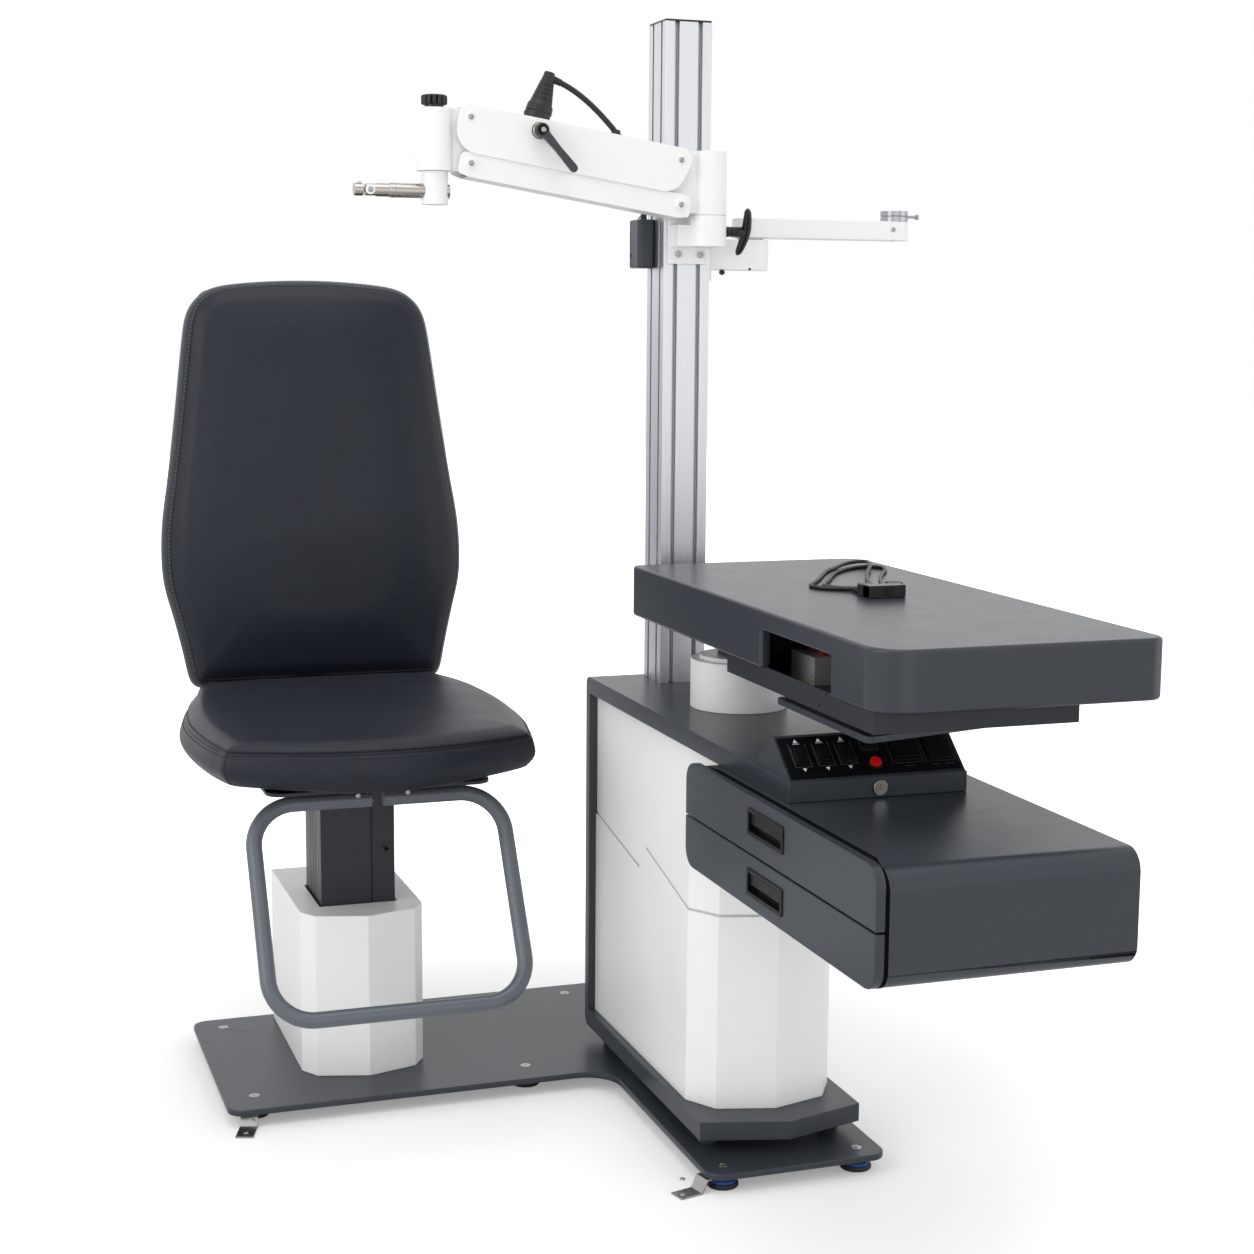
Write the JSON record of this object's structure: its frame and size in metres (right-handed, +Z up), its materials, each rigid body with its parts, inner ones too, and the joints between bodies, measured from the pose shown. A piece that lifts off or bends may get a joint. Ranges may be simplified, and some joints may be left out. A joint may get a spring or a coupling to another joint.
{
  "type": "ophthalmic examination chair",
  "caption": "Eye examination unit: lifting swivel patient chair with footrest beside an instrument stand with swinging table, drawers, control panel, refractor arm and projector arm",
  "frame": {"origin": "on the floor, at the centre of the levelling foot at the stand's rear right corner", "axes": "+X from the chair to the stand, +Y to the back, +Z up; the patient faces -Y"},
  "size_m": [1.257, 1.6706, 1.757],
  "materials": {
    "slate_paint": "satin powder coat",
    "white_paint": "satin powder coat",
    "table_board": "satin slate grey paint",
    "leatherette": "soft sheen, stitched seams",
    "aluminium_profile": "clear anodised",
    "zinc_steel": "zinc plated",
    "polished_steel": "polished",
    "black_rubber": "matte",
    "black_plastic": "fine grain",
    "grey_plastic": "satin",
    "switch_plastic": "gloss",
    "red_plastic": "gloss",
    "rail_paint": "black satin"
  },
  "bodies": {
    "stand": {"base_plate": "slate_paint", "levelling_feet": "black_rubber", "floor_straps": "zinc_steel", "chair_cover": "white_paint", "lift_outer_tube": "zinc_steel", "lift_drive": "zinc_steel", "console_frame": "slate_paint", "lower_cover": "white_paint", "upper_cover": "white_paint", "power_supply": "zinc_steel", "column_profile": "aluminium_profile", "column_cap": "black_plastic", "pivot_drum": "white_paint", "control_housing": "slate_paint", "control_panel": "switch_plastic", "drawer_case": "slate_paint", "arm_bracket": "white_paint", "projector_bracket": "white_paint", "junction_box": "grey_plastic"},
    "lift": {"lift_inner_tube": "slate_paint"},
    "seat": {"seat_frame": "slate_paint", "seat_cushion": "leatherette", "back_bracket": "slate_paint", "back_shell": "black_plastic", "back_cushion": "leatherette", "footrest_loop": "slate_paint"},
    "swivel_lever": {"swivel_lever": "slate_paint"},
    "swing_arm": {"swing_arm": "slate_paint", "slide_rails": "rail_paint"},
    "table": {"slide_tray": "slate_paint", "table_top": "table_board", "lock_box": "zinc_steel", "lead_cord": "black_rubber", "lead_plug": "black_plastic", "lead_socket": "black_plastic"},
    "rocker_1": {"rocker_1": "switch_plastic"},
    "rocker_2": {"rocker_2": "switch_plastic"},
    "rocker_3": {"rocker_3": "switch_plastic"},
    "rocker_4": {"rocker_4": "switch_plastic"},
    "square_rocker": {"square_rocker": "switch_plastic"},
    "double_rocker": {"double_rocker": "switch_plastic"},
    "red_button": {"red_button": "red_plastic"},
    "key_lock": {"key_lock": "polished_steel"},
    "upper_drawer": {"upper_drawer": "slate_paint", "upper_pull": "black_plastic"},
    "lower_drawer": {"lower_drawer": "slate_paint", "lower_pull": "black_plastic"},
    "t_handle": {"t_handle": "black_plastic"},
    "arm_hub": {"arm_hub": "white_paint"},
    "upper_link": {"upper_link": "white_paint", "arm_lead": "black_rubber"},
    "lower_link": {"lower_link": "white_paint"},
    "end_block": {"end_block": "white_paint"},
    "clamp_lever": {"clamp_lever": "black_plastic"},
    "turning_knob": {"turning_knob": "black_plastic"},
    "holder": {"spindle": "white_paint", "holder_rod": "polished_steel"},
    "rod_tip": {"rod_tip": "polished_steel"},
    "projector_arm": {"projector_arm": "white_paint", "projector_ring": "polished_steel"}
  },
  "joints": [
    {"name": "chair_lift", "type": "slide", "parent": "stand", "child": "lift", "axis": [0, 0, 1], "range_m": [0, 0.15]},
    {"name": "seat_swivel", "type": "hinge", "parent": "lift", "child": "seat", "pos_m": [-0.64, -0.166, 0.52], "axis": [0, 0, 1], "range_deg": [-85, 20]},
    {"name": "swivel_lock", "type": "hinge", "parent": "seat", "child": "swivel_lever", "pos_m": [-0.578, -0.356, 0.525], "axis": [0, 0, 1], "range_deg": [-10, 30]},
    {"name": "table_swing", "type": "hinge", "parent": "stand", "child": "swing_arm", "pos_m": [-0.092, -0.566, 0.72], "axis": [0, 0, 1], "range_deg": [-90, 0]},
    {"name": "table_slide", "type": "slide", "parent": "swing_arm", "child": "table", "axis": [0, -1, 0], "range_m": [0, 0.12]},
    {"name": "rocker_1_rock", "type": "hinge", "parent": "stand", "child": "rocker_1", "pos_m": [-0.2075, -1.07088, 0.69698], "axis": [1, 0, 0], "range_deg": [-6, 6]},
    {"name": "rocker_2_rock", "type": "hinge", "parent": "stand", "child": "rocker_2", "pos_m": [-0.1735, -1.07088, 0.69698], "axis": [1, 0, 0], "range_deg": [-6, 6]},
    {"name": "rocker_3_rock", "type": "hinge", "parent": "stand", "child": "rocker_3", "pos_m": [-0.1405, -1.07088, 0.69698], "axis": [1, 0, 0], "range_deg": [-6, 6]},
    {"name": "rocker_4_rock", "type": "hinge", "parent": "stand", "child": "rocker_4", "pos_m": [-0.103, -1.05929, 0.70667], "axis": [1, 0, 0], "range_deg": [-6, 6]},
    {"name": "square_rocker_rock", "type": "hinge", "parent": "stand", "child": "square_rocker", "pos_m": [-0.054, -1.07088, 0.69698], "axis": [1, 0, 0], "range_deg": [-6, 6]},
    {"name": "double_rocker_rock", "type": "hinge", "parent": "stand", "child": "double_rocker", "pos_m": [-0.004, -1.07088, 0.69698], "axis": [1, 0, 0], "range_deg": [-6, 6]},
    {"name": "red_button_press", "type": "slide", "parent": "stand", "child": "red_button", "axis": [0, 0.6414, -0.7672], "range_m": [0, 0.002], "stiffness_N_per_m": 400, "springref_m": -0.002},
    {"name": "key_turn", "type": "hinge", "parent": "stand", "child": "key_lock", "pos_m": [-0.106, -1.105, 0.658], "axis": [0, 1, 0], "range_deg": [0, 90]},
    {"name": "upper_drawer_slide", "type": "slide", "parent": "stand", "child": "upper_drawer", "axis": [-1, 0, 0], "range_m": [0, 0.28]},
    {"name": "lower_drawer_slide", "type": "slide", "parent": "stand", "child": "lower_drawer", "axis": [-1, 0, 0], "range_m": [0, 0.28]},
    {"name": "t_handle_turn", "type": "hinge", "parent": "stand", "child": "t_handle", "pos_m": [-0.053, -0.38, 1.42], "axis": [1, 0, 0], "range_deg": [-60, 60]},
    {"name": "arm_swing", "type": "hinge", "parent": "stand", "child": "arm_hub", "pos_m": [-0.083, -0.38, 1.445], "axis": [0, 0, 1], "range_deg": [0, 100]},
    {"name": "arm_tilt", "type": "hinge", "parent": "arm_hub", "child": "upper_link", "pos_m": [-0.14, -0.38, 1.53], "axis": [0, 1, 0], "range_deg": [-25, 8]},
    {"name": "lower_link_tilt", "type": "hinge", "parent": "arm_hub", "child": "lower_link", "pos_m": [-0.14, -0.38, 1.46], "axis": [0, 1, 0], "range_deg": [-25, 8]},
    {"name": "end_block_level", "type": "hinge", "parent": "upper_link", "child": "end_block", "pos_m": [-0.48569, -0.38, 1.58475], "axis": [0, 1, 0], "range_deg": [-8, 25]},
    {"name": "clamp_lever_turn", "type": "hinge", "parent": "upper_link", "child": "clamp_lever", "pos_m": [-0.37576, -0.408, 1.56734], "axis": [0, 1, 0], "range_deg": [-30, 30]},
    {"name": "turning_knob_turn", "type": "hinge", "parent": "end_block", "child": "turning_knob", "pos_m": [-0.53669, -0.38, 1.60475], "axis": [0, 0, 1], "continuous": true},
    {"name": "holder_turn", "type": "hinge", "parent": "end_block", "child": "holder", "pos_m": [-0.53669, -0.38, 1.50275], "axis": [0, 0, 1], "range_deg": [-90, 90]},
    {"name": "rod_tip_tilt", "type": "hinge", "parent": "holder", "child": "rod_tip", "pos_m": [-0.63969, -0.38, 1.47225], "axis": [0, 1, 0], "range_deg": [-15, 15]},
    {"name": "projector_swing", "type": "hinge", "parent": "stand", "child": "projector_arm", "pos_m": [0.024, -0.3, 1.41], "axis": [0, 0, 1], "range_deg": [-90, 90]}
  ],
  "couplings": [
    {"joint": "lower_link_tilt", "follows": "arm_tilt", "ratio": 1},
    {"joint": "end_block_level", "follows": "arm_tilt", "ratio": -1}
  ]
}
